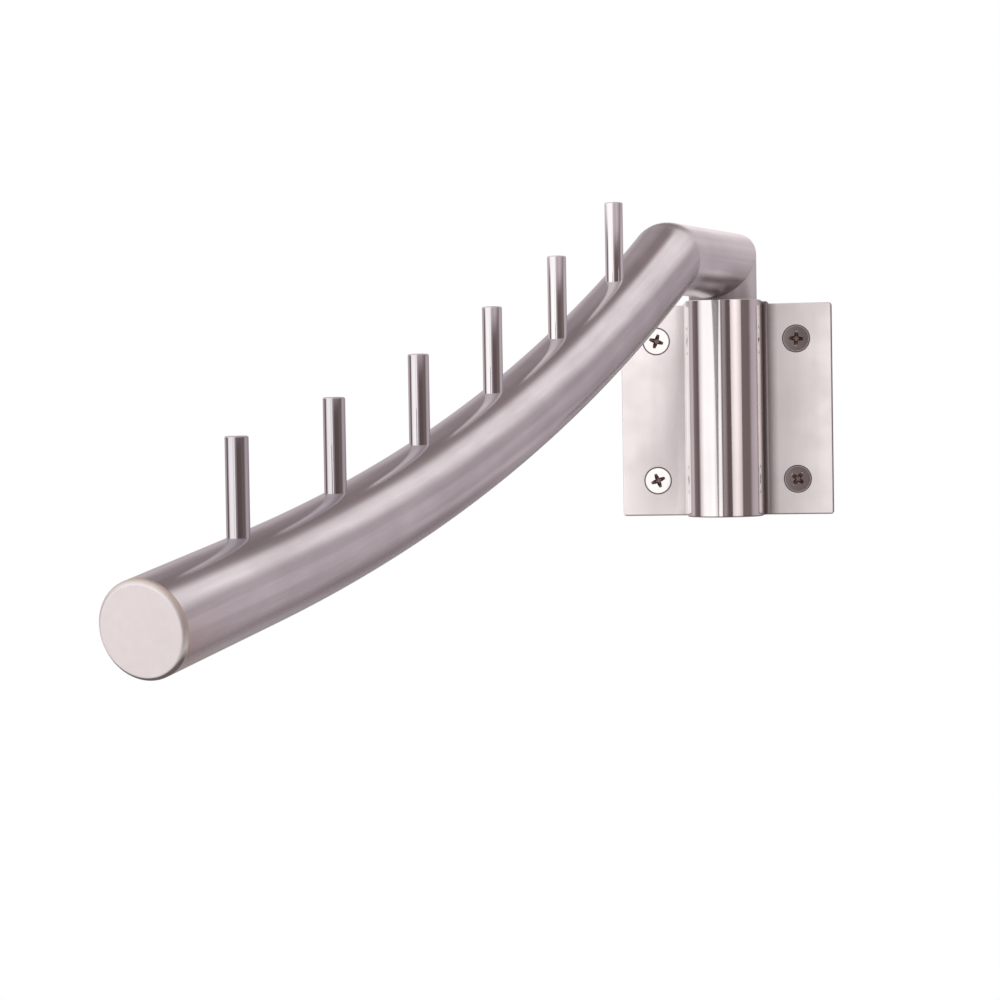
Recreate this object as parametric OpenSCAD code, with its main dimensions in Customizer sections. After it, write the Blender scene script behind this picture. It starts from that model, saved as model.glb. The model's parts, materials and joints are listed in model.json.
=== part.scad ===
// Wall mounted clothes valet: a curved tube arm with upright hanger pins that swings on a wall bracket.
// Origin: centre of the bracket's face against the wall. +X right, +Y into the wall, +Z up.

/* [Bracket plates] */
// Width and height of both square plates
plate_side = 70; // [66:0.5:90]
// Thickness of the flat back plate
back_t = 1.5; // [1:0.1:3]
// Thickness of the formed front plate
sheet_t = 1.2; // [0.8:0.1:2]
// Radius of the plates' corners
corner_r = 1; // [0.5:0.1:3]
// Outer radius of the bend where a flange turns out into the barrel
bend_r = 1.8; // [1:0.1:4.5]
// Height of the collar by which the barrel stands above the flanges
collar_h = 0.8; // [0.2:0.1:3]

/* [Wall screws] */
// Distance from a plate edge to the nearest screw centre
screw_inset = 11.75; // [8:0.25:12]
// Diameter of the screw shank
screw_d = 4.2; // [3.5:0.1:5]
// Diameter of the countersunk head
head_d = 9; // [8:0.1:9.5]
// Length of a screw from the front plate's face to its tip
screw_len = 35; // [25:1:60]
// Length of the screw's tapered tip
tip_len = 5; // [3:0.5:8]

/* [Pivot] */
// Wall thickness of the bearing saddle behind the post
saddle_web = 1; // [0.8:0.1:2]
// Height of each bearing saddle
saddle_h = 14; // [8:1:18]
// Depth of the barrel floor above the plates' lower edge
floor_recess = 5; // [4.5:0.5:8]
// Thickness of the barrel floor
floor_t = 2; // [1.5:0.1:3]
// Thickness of the thrust washer under the post
thrust_t = 1; // [0.8:0.1:2]
// Length of the plug in the foot of the post
plug_len = 12; // [8:1:20]
// Diameter of the retaining bolt
bolt_d = 6; // [4:0.5:8]

/* [Arm] */
// Outside diameter of the post, the stub and the arm
tube_d = 22.2; // [19:0.1:24]
// Wall thickness of the tube
tube_wall = 1.5; // [1:0.1:2]
// Distance from the post's axis to the elbow
stub_len = 47.5; // [45:0.5:70]
// Gap between the barrel's top edge and the stub that swings over it
stub_gap = 0.3; // [0.3:0.1:6]
// Slope of the arm at the elbow, in degrees below level
slope_start = 28.3; // [22:0.1:35]
// Radius of the arm's curve, to the middle of the tube
arm_r = 820; // [700:10:1200]
// Length of the curved stretch, along the middle of the tube
curve_len = 260; // [250:1:270]
// Length of the straight end of the tube
tail_len = 45; // [42:1:70]
// Thickness of the end cap
cap_t = 1.5; // [1:0.1:3]
// Radius of the end cap's edge
cap_edge_r = 0.8; // [0.3:0.1:0.9]
// Turn of the arm to the left of straight out from the wall
arm_turn = 17; // [-70:1:70]

/* [Hanger pins] */
// Number of pins
pin_count = 6; // [3:1:6]
// Diameter of a pin
pin_d = 5.4; // [4:0.1:7]
// Height of a pin above the top line of the arm
pin_h = 22.4; // [15:0.1:35]
// Distance from the open end of the tube to the first pin
pin_inset = 40; // [25:1:42]
// Distance from the elbow to the last pin, along the arm
pin_elbow_inset = 40; // [32:1:60]

/* [Hidden] */
$fn = 96;

// Clearances and overrun
over = 1;          // how far a cut runs past the face it leaves
weld_fit = 0.03;   // gap left for the weld where one piece plugs into another
loose_fit = 0.1;   // gap round a screw, and over the thrust washer
run_fit = 0.08;    // running gap between the post and what guides it
bolt_room = 0.3;   // gap round the retaining bolt in the floor and the thrust washer

// Tube
tube_r = tube_d / 2;
bore_r = tube_r - tube_wall;

// Bracket, seen from above: the barrel is a half round with straight sides back to the flanges
guide_r = tube_r + run_fit;
barrel_r = guide_r + sheet_t;
plates_t = back_t + sheet_t;
axis_y = -(back_t + saddle_web + guide_r);
bend_x = barrel_r + bend_r;
bend_y = -(plates_t + bend_r);
plate_half = plate_side / 2;

// Screws
screw_at = plate_half - screw_inset;
head_h = (head_d - screw_d) / 2;
head_rim = 0.25;
neck_share = 0.8;     // neck between the head and the threaded shank, as a share of the shank
neck_min = 0.1;
neck_end = max(plates_t, head_h + neck_min);
tip_share = 0.1;      // blunt end of the tip as a share of the shank
cross_share = 0.52;   // length of the cross recess as a share of the head
arm_share = 0.11;     // width of one arm of the cross as a share of the head
deep_share = 0.6;     // depth of the cross as a share of the head's height

// Pivot heights
floor_z = -plate_half + floor_recess;
thrust_z = floor_z + floor_t;
post_z = thrust_z + thrust_t + loose_fit;
saddle_share = 0.5;   // depth of a saddle's horns, as a share of the post's radius
saddle_gap = 1.5;     // set-back of the saddles from the plates' top edge and from the post's foot
bolt_head_share = 1.7;  // diameter of the bolt's head as a share of the bolt
bolt_deep_share = 0.45; // height of the bolt's head as a share of the bolt
bolt_key_share = 0.4;   // width of the hexagon socket as a share of the head
bite_share = 0.8;       // how much of the plug the bolt fills
bolt_head_d = bolt_head_share * bolt_d;
bolt_head_h = bolt_deep_share * bolt_d;
washer_t = 0.8;
bolt_bite = bite_share * plug_len;

// Arm, in the upright plane that holds its middle line: x outwards from the post, z up
stub_z = plate_half + collar_h + stub_gap + tube_r;
mitre_half = slope_start / 2;
curve_deg = deg(curve_len / arm_r);
slope_end = slope_start - curve_deg;
lead_deg = deg(tube_r / arm_r);
centre_x = stub_len + arm_r * sin(slope_start);
centre_z = stub_z + arm_r * cos(slope_start);
tail_x = centre_x - arm_r * sin(slope_end);
tail_z = centre_z - arm_r * cos(slope_end);
tip_x = tail_x + tail_len * cos(slope_end);
tip_z = tail_z - tail_len * sin(slope_end);
cap_spigot = 2 * cap_t;
block = 2 * (stub_len + tube_d);

// Pins
pin_pitch = (curve_len + tail_len - pin_inset - pin_elbow_inset) / (pin_count - 1);
pin_root = 4;         // how far a pin reaches below the top line of the arm
pin_chamfer = 0.4;

PIN_NODES = [for (i = [1 : pin_count]) str("hanger_pin_", i)];

STEEL = [0.78, 0.75, 0.75];
STEEL_DARK = [0.66, 0.63, 0.64];
POLISHED = [0.85, 0.84, 0.85];
NYLON = [0.92, 0.92, 0.9];

// Arc length over radius, as degrees
function deg(ratio) = ratio * 180 / PI;

// Distance along the arm's middle line from the elbow to pin i, counted from the open end
function pin_along(i) = curve_len + tail_len - pin_inset - (i - 1) * pin_pitch;

// Slope of the arm at a distance from the elbow
function slope_at(along) = slope_start - deg(min(along, curve_len) / arm_r);

// How far a place on the arm lies along its straight end
function past_curve(along) = max(along - curve_len, 0);

// Middle line of the arm at a distance from the elbow
function line_x(along) =
    centre_x - arm_r * sin(slope_at(along)) + past_curve(along) * cos(slope_end);
function line_z(along) =
    centre_z - arm_r * cos(slope_at(along)) - past_curve(along) * sin(slope_end);

// Top line of the arm, where a pin stands
function pin_x(i) = line_x(pin_along(i)) + tube_r * sin(slope_at(pin_along(i)));
function pin_z(i) = line_z(pin_along(i)) + tube_r * cos(slope_at(pin_along(i)));

// Square outline with round corners
module rounded_square(side, r) {
    square([side - 2 * r, side], center = true);
    square([side, side - 2 * r], center = true);
    for (x = [-1, 1], z = [-1, 1]) {
        translate([x * (side / 2 - r), z * (side / 2 - r)]) circle(r);
    }
}

// Stands an outline up in the wall's plane and gives it depth, out from the wall
module out_from_wall(depth) {
    rotate([90, 0, 0]) linear_extrude(depth) children();
}

// Puts one copy at each screw, with +Z pointing out from the wall at the front plate's face
module at_screws() {
    for (x = [-1, 1], z = [-1, 1]) {
        translate([x * screw_at, -plates_t, z * screw_at]) rotate([90, 0, 0]) children();
    }
}

// Room for one countersunk screw through both plates
module screw_room() {
    hole_r = screw_d / 2 + loose_fit;
    mouth_r = head_d / 2 + loose_fit;
    translate([0, 0, -plates_t - over]) cylinder(h = plates_t + over, r = hole_r);
    translate([0, 0, -head_h]) cylinder(h = head_h - head_rim, r1 = hole_r, r2 = mouth_r);
    translate([0, 0, -head_rim]) cylinder(h = head_rim + over, r = mouth_r);
}

// Section of the channel inside the barrel, seen from above, as wide as r on each side of the axis
module channel_section(r, rear_y) {
    translate([0, axis_y]) circle(r);
    translate([-r, axis_y]) square([2 * r, rear_y - axis_y]);
}

// Section of the front plate: flanges, bends, straight sides and the half round
module front_section() {
    difference() {
        union() {
            translate([-plate_half, -plates_t]) square([plate_side, sheet_t]);
            channel_section(barrel_r, -back_t);
            for (side = [-1, 1]) bend_web(side);
        }
        channel_section(guide_r, over - back_t);
        for (side = [-1, 1]) bend_hollow(side);
    }
}

// Concave corner between a flange and the barrel
module bend_web(side) {
    middle_x = (barrel_r + bend_x) / 2;
    difference() {
        translate([side * middle_x, bend_y / 2]) square([bend_r, -bend_y], center = true);
        translate([side * bend_x, bend_y]) circle(bend_r);
        translate([side * bend_x, (over - back_t) / 2]) {
            square([2 * bend_x, back_t + over], center = true);
        }
    }
}

// The same bend at the back of the sheet, which leaves a hollow against the back plate
module bend_hollow(side) {
    inner_r = bend_r + sheet_t;
    middle_x = (guide_r + bend_x) / 2;
    difference() {
        translate([side * middle_x, bend_y + inner_r / 2]) square(inner_r, center = true);
        translate([side * bend_x, bend_y]) circle(inner_r);
    }
}

// Flat plate against the wall
module back_plate() {
    color(STEEL_DARK) difference() {
        out_from_wall(back_t) rounded_square(plate_side, corner_r);
        at_screws() screw_room();
    }
}

// Outline of the formed sheet: the plate's square with the barrel's collar above it
module front_outline() {
    shoulder_x = bend_x - collar_h;
    rounded_square(plate_side, corner_r);
    translate([-bend_x, 0]) square([2 * bend_x, plate_half]);
    translate([-shoulder_x, 0]) square([2 * shoulder_x, plate_half + collar_h]);
    for (side = [-1, 1]) {
        translate([side * shoulder_x, plate_half]) circle(collar_h);
    }
}

// Sheet formed round the post, with a flange on each side
module front_plate() {
    depth = barrel_r - axis_y;
    tall = plate_side + collar_h;
    color(STEEL) difference() {
        intersection() {
            translate([0, 0, -plate_half]) linear_extrude(tall) front_section();
            out_from_wall(depth) front_outline();
        }
        at_screws() screw_room();
    }
}

// Floor welded into the barrel, which carries the arm
module barrel_floor() {
    color(STEEL_DARK) translate([0, 0, floor_z]) linear_extrude(floor_t) difference() {
        channel_section(guide_r - weld_fit, -back_t);
        translate([0, axis_y]) circle(bolt_d / 2 + bolt_room);
    }
}

// Nylon saddle between the back plate and the post
module saddle(z) {
    rear_y = -back_t;
    front_y = axis_y + saddle_share * tube_r;
    half_w = guide_r - weld_fit;
    color(NYLON) translate([0, 0, z]) linear_extrude(saddle_h) difference() {
        translate([-half_w, front_y]) square([2 * half_w, rear_y - front_y]);
        translate([0, axis_y]) circle(guide_r);
    }
}

module lower_saddle() {
    saddle(post_z + saddle_gap);
}

module upper_saddle() {
    saddle(plate_half - saddle_gap - saddle_h);
}

// Nylon ring on the barrel floor, under the post
module thrust_washer() {
    color(NYLON) translate([0, axis_y, thrust_z]) difference() {
        cylinder(h = thrust_t, r = tube_r - loose_fit);
        translate([0, 0, -over]) cylinder(h = thrust_t + 2 * over, r = bolt_d / 2 + bolt_room);
    }
}

// One countersunk wood screw with a cross recess
module wall_screw() {
    screw_r = screw_d / 2;
    shank_end = screw_len - tip_len;
    cross_len = cross_share * head_d;
    cross_w = arm_share * head_d;
    cross_deep = deep_share * head_h;
    difference() {
        union() {
            translate([0, 0, -head_rim]) cylinder(h = head_rim, r = head_d / 2);
            translate([0, 0, -head_h]) cylinder(h = head_h - head_rim, r1 = screw_r, r2 = head_d / 2);
            translate([0, 0, -neck_end]) cylinder(h = neck_end - head_h, r = neck_share * screw_r);
            translate([0, 0, -shank_end]) cylinder(h = shank_end - neck_end, r = screw_r);
            translate([0, 0, -screw_len]) cylinder(h = tip_len, r1 = tip_share * screw_r, r2 = screw_r);
        }
        for (turn = [0, 90]) {
            rotate([0, 0, turn]) translate([-cross_len / 2, -cross_w / 2, -cross_deep]) {
                cube([cross_len, cross_w, cross_deep + over]);
            }
        }
    }
}

module wall_screws() {
    color(POLISHED) at_screws() wall_screw();
}

// Moves a piece from the arm's own plane to the post's axis and turns it to where the arm points
module on_arm() {
    translate([0, axis_y, 0]) rotate([0, 0, -90 - arm_turn]) children();
}

// Half space past a plane that holds the y axis; its normal points up from +X by the angle
module past(angle) {
    rotate([0, -angle, 0]) translate([0, -block / 2, -block / 2]) cube(block);
}

module before(angle) {
    rotate([0, 180 - angle, 0]) translate([0, -block / 2, -block / 2]) cube(block);
}

// Upright tube that turns in the barrel, mitred at the top
module pivot_post() {
    tall = stub_z + tube_r + over - post_z;
    color(STEEL) on_arm() difference() {
        translate([0, 0, post_z]) cylinder(h = tall, r = tube_r);
        translate([0, 0, post_z - over]) cylinder(h = tall + 2 * over, r = bore_r);
        translate([0, 0, stub_z]) past(45);
    }
}

// Plug in the foot of the post, tapped for the bolt
module post_plug() {
    color(STEEL_DARK) on_arm() translate([0, 0, post_z]) difference() {
        cylinder(h = plug_len, r = bore_r - weld_fit);
        translate([0, 0, -over]) cylinder(h = plug_len + 2 * over, r = bolt_d / 2 + weld_fit);
    }
}

// Washer between the barrel floor and the bolt's head
module bolt_washer() {
    color(POLISHED) on_arm() translate([0, 0, floor_z - loose_fit - washer_t]) difference() {
        cylinder(h = washer_t, r = bolt_head_d / 2 + washer_t);
        translate([0, 0, -over]) cylinder(h = washer_t + 2 * over, r = bolt_d / 2 + weld_fit);
    }
}

// Button head bolt, up through the floor into the plug
module retaining_bolt() {
    seat_z = floor_z - loose_fit - washer_t;
    foot_z = seat_z - bolt_head_h;
    bolt_r = bolt_d / 2;
    color(POLISHED) on_arm() difference() {
        union() {
            translate([0, 0, seat_z]) cylinder(h = post_z + bolt_bite - seat_z, r = bolt_r);
            translate([0, 0, foot_z]) cylinder(h = bolt_head_h, r1 = bolt_r, r2 = bolt_head_d / 2);
        }
        translate([0, 0, foot_z - over]) {
            cylinder(h = bolt_head_h + over, d = bolt_key_share * bolt_head_d, $fn = 6);
        }
    }
}

// Level tube from the post to the elbow, mitred at both ends
module stub_tube() {
    color(STEEL) on_arm() intersection() {
        difference() {
            level_bar(tube_r, 0);
            level_bar(bore_r, over);
            translate([stub_len, 0, stub_z]) past(-mitre_half);
        }
        translate([0, 0, stub_z]) past(45);
    }
}

module level_bar(r, more) {
    long = stub_len + tube_d + 2 * more;
    translate([-tube_r - more, 0, stub_z]) rotate([0, 90, 0]) cylinder(h = long, r = r);
}

// The arm's curve and its straight end, as a solid bar that runs on past the end by more.
// Both start where they meet, so that their end faces fall exactly on each other.
module arm_bar(r, more) {
    translate([tail_x, 0, tail_z]) rotate([0, slope_end, 0]) {
        rotate([0, 90, 0]) cylinder(h = tail_len + more, r = r);
        translate([0, 0, arm_r]) mirror([1, 0, 0]) rotate([90, 0, 0]) rotate([0, 0, 270]) {
            rotate_extrude(angle = curve_deg + lead_deg) translate([arm_r, 0]) circle(r);
        }
    }
}

// Curved tube, mitred at the elbow and drilled for the pins
module arm_tube() {
    color(STEEL) on_arm() difference() {
        arm_bar(tube_r, 0);
        arm_bar(bore_r, over);
        translate([stub_len, 0, stub_z]) before(-mitre_half);
        for (i = [1 : pin_count]) {
            translate([pin_x(i), 0, pin_z(i) - tube_r]) {
                cylinder(h = tube_r + pin_d, r = pin_d / 2 + weld_fit);
            }
        }
    }
}

// Disc that closes the end of the tube, with a spigot inside it
module end_cap() {
    face_r = tube_r - cap_edge_r;
    color(STEEL) on_arm() translate([tip_x, 0, tip_z]) rotate([0, 90 + slope_end, 0]) {
        rotate_extrude() {
            square([tube_r, cap_t - cap_edge_r]);
            square([face_r, cap_t]);
            intersection() {
                translate([face_r, cap_t - cap_edge_r]) circle(cap_edge_r);
                square([tube_r, cap_t]);
            }
            translate([0, -cap_spigot]) square([bore_r - weld_fit, cap_spigot]);
        }
    }
}

// Upright pin let into the top of the arm, counted from the open end
module hanger_pin(i) {
    low = pin_z(i) - pin_root;
    straight = pin_root + pin_h - pin_chamfer;
    color(POLISHED) on_arm() translate([pin_x(i), 0, low]) {
        cylinder(h = straight, r = pin_d / 2);
        translate([0, 0, straight]) cylinder(h = pin_chamfer, r1 = pin_d / 2, r2 = pin_d / 2 - pin_chamfer);
    }
}

back_plate();
front_plate();
barrel_floor();
lower_saddle();
upper_saddle();
thrust_washer();
wall_screws();
pivot_post();
post_plug();
retaining_bolt();
bolt_washer();
stub_tube();
arm_tube();
end_cap();
for (i = [1 : pin_count]) hanger_pin(i);
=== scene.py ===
import bmesh
import bpy
import json
import math
from mathutils import Matrix, Vector


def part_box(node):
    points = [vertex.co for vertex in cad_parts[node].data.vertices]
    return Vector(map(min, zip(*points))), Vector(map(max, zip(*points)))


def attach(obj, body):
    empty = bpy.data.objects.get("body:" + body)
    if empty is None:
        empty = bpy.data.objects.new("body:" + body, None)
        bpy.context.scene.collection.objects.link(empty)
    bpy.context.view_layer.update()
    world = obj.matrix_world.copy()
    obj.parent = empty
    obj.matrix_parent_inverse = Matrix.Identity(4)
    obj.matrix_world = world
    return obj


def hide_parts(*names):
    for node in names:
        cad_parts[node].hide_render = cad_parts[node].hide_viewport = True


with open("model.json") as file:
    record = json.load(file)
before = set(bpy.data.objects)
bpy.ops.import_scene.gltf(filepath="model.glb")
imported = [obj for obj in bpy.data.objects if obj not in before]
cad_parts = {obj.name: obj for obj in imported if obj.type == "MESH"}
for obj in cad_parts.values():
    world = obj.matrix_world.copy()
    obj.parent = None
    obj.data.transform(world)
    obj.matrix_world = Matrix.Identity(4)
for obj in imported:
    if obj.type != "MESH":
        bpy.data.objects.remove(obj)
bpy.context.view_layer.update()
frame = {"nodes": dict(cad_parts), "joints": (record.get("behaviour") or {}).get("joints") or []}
MM = 0.001


# Camera
# A long lens stands 850 mm in front of the wall plate, a little to its right, and looks along the arm.
def new_object(name, data):
    """An object that is in the scene."""
    made = bpy.data.objects.new(name, data)
    bpy.context.scene.collection.objects.link(made)
    return made


focal_px = 2537.3
picture_px = 1000
film_mm = 36.0
turn_left = 0.16352
look_down = 0.02827
roll = -0.01637
camera_place = (0.06263, -0.84888, -0.00487)
ahead = Vector((
    -math.sin(turn_left) * math.cos(look_down),
    math.cos(turn_left) * math.cos(look_down),
    -math.sin(look_down),
))
level_right = Vector((math.cos(turn_left), math.sin(turn_left), 0))
level_up = level_right.cross(ahead)
right = level_right * math.cos(roll) + level_up * math.sin(roll)
up = level_up * math.cos(roll) - level_right * math.sin(roll)
camera_data = bpy.data.cameras.new("camera")
camera_data.sensor_width = film_mm
camera_data.lens = focal_px * film_mm / picture_px
camera_data.clip_start = 0.02
camera_data.clip_end = 20
camera = new_object("camera", camera_data)
camera.matrix_world = Matrix.Translation(camera_place) @ Matrix((right, up, -ahead)).transposed().to_4x4()
bpy.context.scene.camera = camera


# Back plate
# A square of 1.5 mm stainless sheet that lies flat on the wall. The four wall screws clamp it under
# the front plate, and it closes the barrel at the back.
def add_node(tree, kind, inputs=(), **settings):
    """Adds a node. inputs holds, by name or number, a plain value or another node's output."""
    node = tree.nodes.new(kind)
    for label, value in settings.items():
        setattr(node, label, value)
    for label, value in dict(inputs).items():
        if isinstance(value, bpy.types.NodeSocket):
            tree.links.new(value, node.inputs[label])
        else:
            node.inputs[label].default_value = value
    return node


def maths(operation, *values, clamp=False):
    """A Math node's output. The values are numbers and outputs of the tree that it is added to."""
    tree = next(value.id_data for value in values if isinstance(value, bpy.types.NodeSocket))
    inputs = dict(enumerate(values))
    return add_node(tree, "ShaderNodeMath", inputs, operation=operation, use_clamp=clamp).outputs[0]


def times(a, b):
    return maths("MULTIPLY", a, b)


def plus(a, b):
    return maths("ADD", a, b)


def minus(a, b):
    return maths("SUBTRACT", a, b)


def diagonal(a, b):
    """The length of a step that goes a one way and b at a right angle to it."""
    return maths("SQRT", maths("MULTIPLY_ADD", a, a, times(b, b)))


def vector_maths(operation, a, b=None):
    """A Vector Math node's output: a number for LENGTH and DOT_PRODUCT. SCALE takes a number as b."""
    inputs = {0: a}
    if b is not None:
        inputs[3 if operation == "SCALE" else 1] = b
    node = add_node(a.id_data, "ShaderNodeVectorMath", inputs, operation=operation)
    return node.outputs["Value" if operation in ("LENGTH", "DOT_PRODUCT") else "Vector"]


def ranged(value, low, high, new_low=0.0, new_high=1.0, shape="LINEAR"):
    """Turns the range from low to high into a new range, and holds the value inside it."""
    inputs = {"Value": value, "From Min": low, "From Max": high, "To Min": new_low, "To Max": new_high}
    return add_node(value.id_data, "ShaderNodeMapRange", inputs, interpolation_type=shape).outputs["Result"]


def mixed(mask, a, b):
    """Goes from a to b as the mask goes from 0 to 1. A tuple is a colour."""
    of_colours = isinstance(b, tuple) or getattr(b, "type", None) == "RGBA"
    a, b = [(*value, 1) if isinstance(value, tuple) else value for value in (a, b)]
    inputs = {"Factor": mask, "A": a, "B": b}
    kind = "RGBA" if of_colours else "FLOAT"
    return add_node(mask.id_data, "ShaderNodeMix", inputs, data_type=kind).outputs["Result"]


def where_on(tree, attribute_name=None):
    """The place in the piece's own coordinates, or from an attribute that the mesh carries."""
    if attribute_name is None:
        return tree.nodes.new("ShaderNodeTexCoord").outputs["Object"]
    return add_node(tree, "ShaderNodeAttribute", attribute_name=attribute_name).outputs["Vector"]


def along_axes(place):
    """The three coordinates of a place."""
    return add_node(place.id_data, "ShaderNodeSeparateXYZ", {0: place}).outputs


def brushed_grain_group():
    """Fine scratches one way, wider streaks the same way, and clouds where the polish is uneven."""
    group = bpy.data.node_groups.new("brushed grain", "ShaderNodeTree")
    for label, kind in (("Place", "Vector"), ("Across", "Vector"), ("Cloud size", "Float")):
        group.interface.new_socket(label, in_out="INPUT", socket_type="NodeSocket" + kind)
    for label in ("Scratches", "Streaks", "Clouds"):
        group.interface.new_socket(label, in_out="OUTPUT", socket_type="NodeSocketFloat")
    given = group.nodes.new("NodeGroupInput").outputs
    stretched = vector_maths("MULTIPLY", given["Place"], given["Across"])
    noises = {
        "Scratches": {"Vector": stretched, "Scale": 1.0, "Detail": 3.0},
        "Streaks": {"Vector": stretched, "Scale": 0.16, "Detail": 3.0},
        "Clouds": {"Vector": given["Place"], "Scale": given["Cloud size"], "Detail": 2.0},
    }
    grain = {
        label: add_node(group, "ShaderNodeTexNoise", inputs).outputs["Fac"]
        for label, inputs in noises.items()
    }
    add_node(group, "NodeGroupOutput", grain)
    return group


grain_group = brushed_grain_group()


def grain_at(place, across, cloud_size):
    """The brushed grain at a place. across gives the scratches in a metre on each axis."""
    inputs = {"Place": place, "Across": across, "Cloud size": cloud_size}
    return add_node(place.id_data, "ShaderNodeGroup", inputs, node_tree=grain_group).outputs


noise_low = 0.3
noise_high = 0.7
gloss_spread = 0.2
scratch_depth = 0.02 * MM


def new_material(name):
    """A material, its node tree and its shader."""
    material = bpy.data.materials.new(name)
    material.use_nodes = True
    return material, material.node_tree, material.node_tree.nodes["Principled BSDF"]


def steel(name, colour, shade, roughness, across, place=None, cloud_size=45.0, depth=0.04):
    """Stainless steel. across gives the scratches in a metre on each axis: it is low along the brushing."""
    material, tree, shader = new_material(name)
    shader.inputs["Metallic"].default_value = 1.0
    grain = grain_at(where_on(tree, place), across, cloud_size)
    clouds = ranged(grain["Clouds"], noise_low, noise_high, 0.0, 0.5)
    streaks = ranged(grain["Streaks"], noise_low, noise_high, 0.0, 0.5)
    uneven = plus(clouds, streaks)
    tree.links.new(mixed(uneven, colour, shade), shader.inputs["Base Color"])
    gloss = ranged(uneven, 0.0, 1.0, roughness * (1 - gloss_spread), roughness * (1 + gloss_spread))
    tree.links.new(gloss, shader.inputs["Roughness"])
    scratched = {"Strength": depth, "Distance": scratch_depth, "Height": grain["Scratches"]}
    tree.links.new(add_node(tree, "ShaderNodeBump", scratched).outputs["Normal"], shader.inputs["Normal"])
    return material


def touched(material, mask, colour=None, roughness=None):
    """Mixes a colour, a roughness or both into a steel where the mask is 1."""
    tree = material.node_tree
    for label, value in (("Base Color", colour), ("Roughness", roughness)):
        if value is not None:
            socket = tree.nodes["Principled BSDF"].inputs[label]
            tree.links.new(mixed(mask, socket.links[0].from_socket, value), socket)


def bent(material, height):
    """Lays the fine scratches over a larger shape, a height in metres."""
    tree = material.node_tree
    shape = add_node(tree, "ShaderNodeBump", {"Strength": 1.0, "Distance": 1.0, "Height": height})
    scratches = tree.nodes["Principled BSDF"].inputs["Normal"].links[0].from_node
    tree.links.new(shape.outputs["Normal"], scratches.inputs["Normal"])


def placed(name, mesh, material, body, slot, *nodes):
    """Shows a finished mesh in place of CAD nodes."""
    piece = new_object(name, mesh)
    mesh.materials.clear()
    mesh.materials.append(material)
    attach(piece, body)
    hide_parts(*nodes)


def finished_mesh(worked, name):
    """The evaluated mesh of a working object, which is then removed."""
    bpy.context.view_layer.update()
    graph = bpy.context.evaluated_depsgraph_get()
    mesh = bpy.data.meshes.new_from_object(worked.evaluated_get(graph), depsgraph=graph)
    mesh.name = name
    bpy.data.objects.remove(worked)
    return mesh


def mesh_of(work, name):
    """Ends the work on a mesh and gives the mesh."""
    mesh = bpy.data.meshes.new(name)
    work.to_mesh(mesh)
    work.free()
    return mesh


def closed_side(work, lower, upper):
    """Faces between two rings of points, one above the other, both anticlockwise seen from above."""
    for k in range(len(lower)):
        n = (k + 1) % len(lower)
        work.faces.new((lower[k], lower[n], upper[n], upper[k]))


def sheet_mesh(name, front, back, top_z):
    """An upright sheet between two lines seen from above, which pair up point by point. top_z gives its
    top's height at x. Its four corners and all sharp edges are rounded."""
    work = bmesh.new()
    rows = []
    for line in (front, back):
        rows.append([work.verts.new((x, y, -plate_half)) for x, y in line])
        rows.append([work.verts.new((x, y, top_z(x))) for x, y in line])
    front_low, front_top, back_low, back_top = rows
    for k in range(len(front) - 1):
        n = k + 1
        work.faces.new((front_low[k], front_low[n], front_top[n], front_top[k]))
        work.faces.new((back_low[n], back_low[k], back_top[k], back_top[n]))
        work.faces.new((front_top[k], front_top[n], back_top[n], back_top[k]))
        work.faces.new((front_low[n], front_low[k], back_low[k], back_low[n]))
    for k in (0, -1):
        work.faces.new((front_low[k], front_top[k], back_top[k], back_low[k]))
    bmesh.ops.recalc_face_normals(work, faces=work.faces)
    rounding_error = 1e-7
    corners = [
        edge for edge in work.edges
        if all(abs(abs(vert.co.x) - plate_half) < rounding_error for vert in edge.verts)
        and abs(edge.verts[0].co.z - edge.verts[1].co.z) < rounding_error
    ]
    bmesh.ops.bevel(work, geom=corners, offset=corner_r, segments=6, profile=0.5, affect="EDGES")
    least_angle = math.radians(60)
    sharp = [edge for edge in work.edges if edge.calc_face_angle(0) > least_angle]
    bmesh.ops.bevel(work, geom=sharp, offset=sheet_edge_r, segments=3, profile=0.5, affect="EDGES")
    return mesh_of(work, name)


def lathe_mesh(name, profile, sides):
    """A solid turned about Z from (radius, height) points, bottom to top."""
    work = bmesh.new()
    angles = [2 * math.pi * k / sides for k in range(sides)]
    rings = [
        [work.verts.new((radius * math.cos(a), radius * math.sin(a), height)) for a in angles]
        for radius, height in profile
    ]
    for lower, upper in zip(rings, rings[1:]):
        closed_side(work, lower, upper)
    work.faces.new(list(reversed(rings[0])))
    work.faces.new(rings[-1])
    return mesh_of(work, name)


def cut_out(worked, cutter, own_overlaps=False):
    """Cuts one working object out of another."""
    cut = worked.modifiers.new("cut", "BOOLEAN")
    cut.solver = "EXACT"
    cut.use_self = own_overlaps
    cut.object = cutter


def eased(worked, width, segments, least_degrees):
    """Rounds a working object's edges that turn by more than an angle."""
    ease = worked.modifiers.new("eased edges", "BEVEL")
    ease.width = width
    ease.segments = segments
    ease.limit_method = "ANGLE"
    ease.angle_limit = math.radians(least_degrees)
    return ease


def drilled(name, mesh):
    """Cuts a countersink for each wall screw out of a plate and breaks the holes' edges a little."""
    mesh.shade_smooth()
    plate = new_object(name + "_work", mesh)
    cutters = []
    for x, z in screw_places:
        cutter = new_object("countersink", lathe_mesh("countersink", countersink, round_sides))
        cutter.matrix_world = Matrix.Translation((x, plates_front, z)) @ Matrix.Rotation(math.pi / 2, 4, "X")
        cutters.append(cutter)
        cut_out(plate, cutter)
    eased(plate, hole_edge_r, segments=3, least_degrees=40)
    flat = plate.modifiers.new("flat faces", "WEIGHTED_NORMAL")
    flat.weight = 100
    done = finished_mesh(plate, name)
    for cutter in cutters:
        bpy.data.objects.remove(cutter)
    return done


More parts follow.
